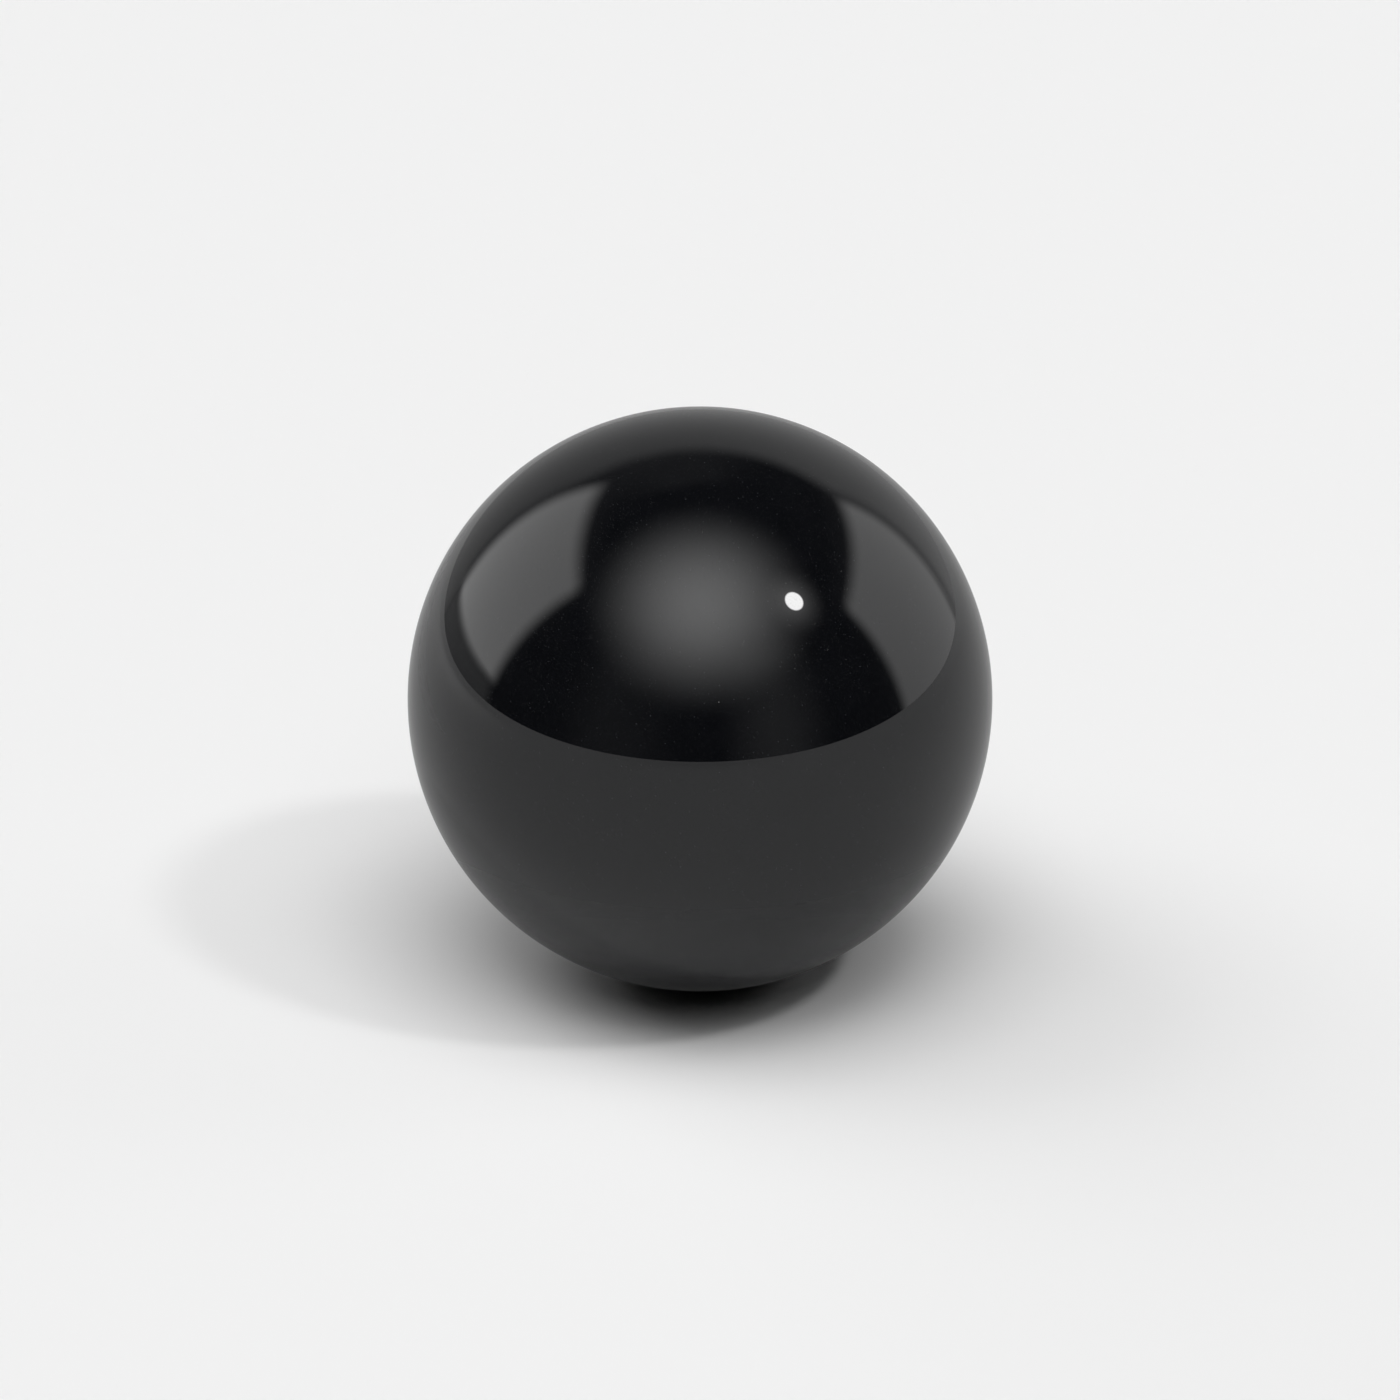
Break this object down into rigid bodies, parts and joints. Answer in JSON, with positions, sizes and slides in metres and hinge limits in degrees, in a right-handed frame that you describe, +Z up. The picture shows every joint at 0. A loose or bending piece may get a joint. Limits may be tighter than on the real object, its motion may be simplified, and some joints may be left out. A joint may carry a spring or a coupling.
{
  "type": "ceramic ball",
  "caption": "Solid ball of black technical ceramic, ground truly round and polished to a dark mirror, with no hole, flat, seam or marking.",
  "frame": {"origin": "centre of the ball", "axes": "+Z up, +X to the right and +Y away from someone who faces the ball; every line through the centre is an axis of symmetry"},
  "size_m": [0.0254, 0.0254, 0.0254],
  "materials": {
    "black_ceramic": "ground and polished to a dark mirror, with a few fine pores"
  },
  "bodies": {
    "root": {"ball": "black_ceramic"}
  },
  "joints": []
}
